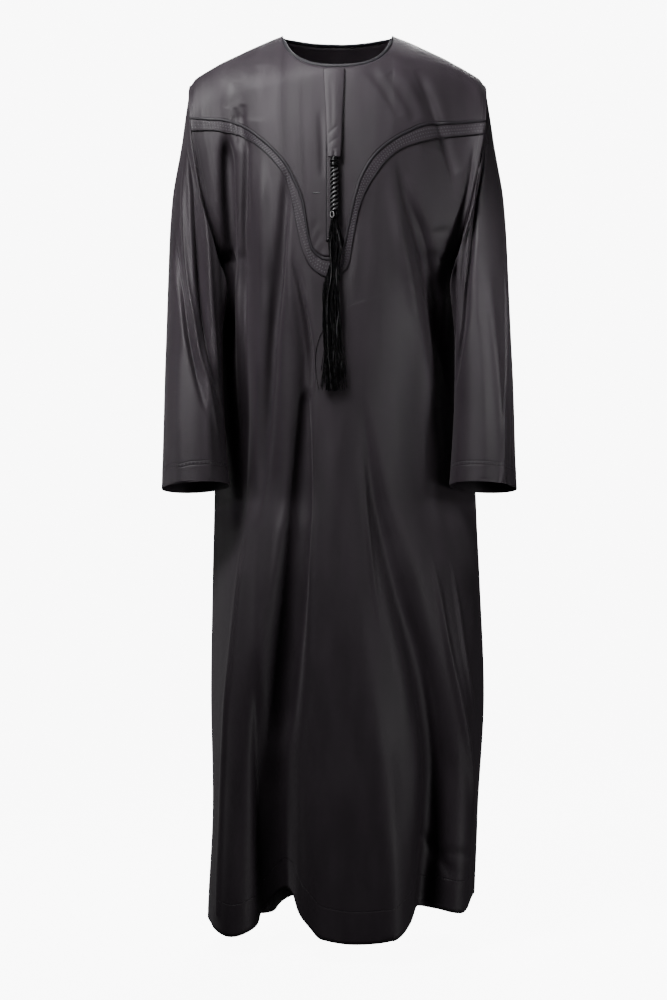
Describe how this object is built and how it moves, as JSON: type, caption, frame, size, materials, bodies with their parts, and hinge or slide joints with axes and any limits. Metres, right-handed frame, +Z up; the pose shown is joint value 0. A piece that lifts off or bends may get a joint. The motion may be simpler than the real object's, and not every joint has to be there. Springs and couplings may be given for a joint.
{
  "type": "thobe",
  "caption": "Floor-length long-sleeved thobe in smooth dark cloth, worn and hollow, with a bib yoke, a bound round neck and a hanging neck tassel.",
  "frame": {"origin": "middle of the neck opening, level with the high points of the shoulder seams, where the wearer's shoulders hold the garment", "axes": "+Z up, the garment's front faces -Y, +X to the right of someone who looks at the front"},
  "size_m": [0.562, 0.3073, 1.4231],
  "materials": {
    "front_yoke": "smooth satin gabardine",
    "front_panel": "smooth satin gabardine",
    "back_panel": "smooth satin gabardine",
    "sleeve_left": "smooth satin gabardine",
    "sleeve_right": "smooth satin gabardine",
    "neck_binding": "folded bias binding",
    "yoke_band": "stitched band in matching thread",
    "front_placket": "smooth satin gabardine",
    "tassel_band": "folded strip of the same cloth",
    "tassel_knot": "wound rayon thread",
    "tassel_cord": "twisted rayon cord",
    "tassel_fringe": "loose rayon threads"
  },
  "bodies": {
    "root": {"front_yoke": "front_yoke", "front_panel": "front_panel", "back_panel": "back_panel", "sleeve_left": "sleeve_left", "sleeve_right": "sleeve_right", "neck_binding": "neck_binding", "yoke_band": "yoke_band", "front_placket": "front_placket", "tassel_band": "tassel_band", "tassel_knot": "tassel_knot", "tassel_cord": "tassel_cord", "tassel_fringe": "tassel_fringe"}
  },
  "joints": []
}
